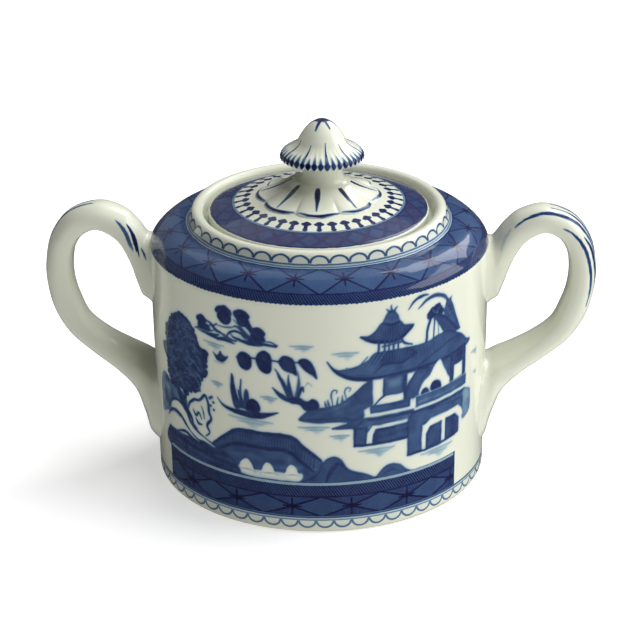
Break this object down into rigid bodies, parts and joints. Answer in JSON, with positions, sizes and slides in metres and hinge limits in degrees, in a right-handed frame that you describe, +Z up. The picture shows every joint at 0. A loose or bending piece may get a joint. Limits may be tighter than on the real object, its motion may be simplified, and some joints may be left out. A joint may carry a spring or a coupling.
{
  "type": "sugar bowl",
  "caption": "Lidded porcelain sugar bowl: straight-sided cylinder with rounded shoulder, loop handles on each side, recessed domed lid with rosette and bell-shaped knob, blue-and-white glaze.",
  "frame": {"origin": "middle of the foot, on the plane the bowl stands on", "axes": "+Z up along the bowl's axis, the two handles along +X and -X, the painted front faces -Y"},
  "size_m": [0.1627, 0.1, 0.1092],
  "materials": {
    "body_porcelain": "glossy glaze over cobalt painting",
    "handle_porcelain": "glossy white glaze with cobalt brush strokes",
    "lid_porcelain": "glossy glaze over a cobalt lattice band",
    "rosette_porcelain": "glossy white glaze with cobalt strokes",
    "knob_porcelain": "glossy white glaze with cobalt drops on the rim"
  },
  "bodies": {
    "bowl": {"bowl_body": "body_porcelain", "handle_left": "handle_porcelain", "handle_right": "handle_porcelain"},
    "lid": {"lid_disc": "lid_porcelain", "lid_rosette": "rosette_porcelain", "lid_knob": "knob_porcelain"}
  },
  "joints": [
    {"name": "lid_lift", "type": "slide", "parent": "bowl", "child": "lid", "axis": [0, 0, 1], "range_m": [0, 0.06]}
  ]
}
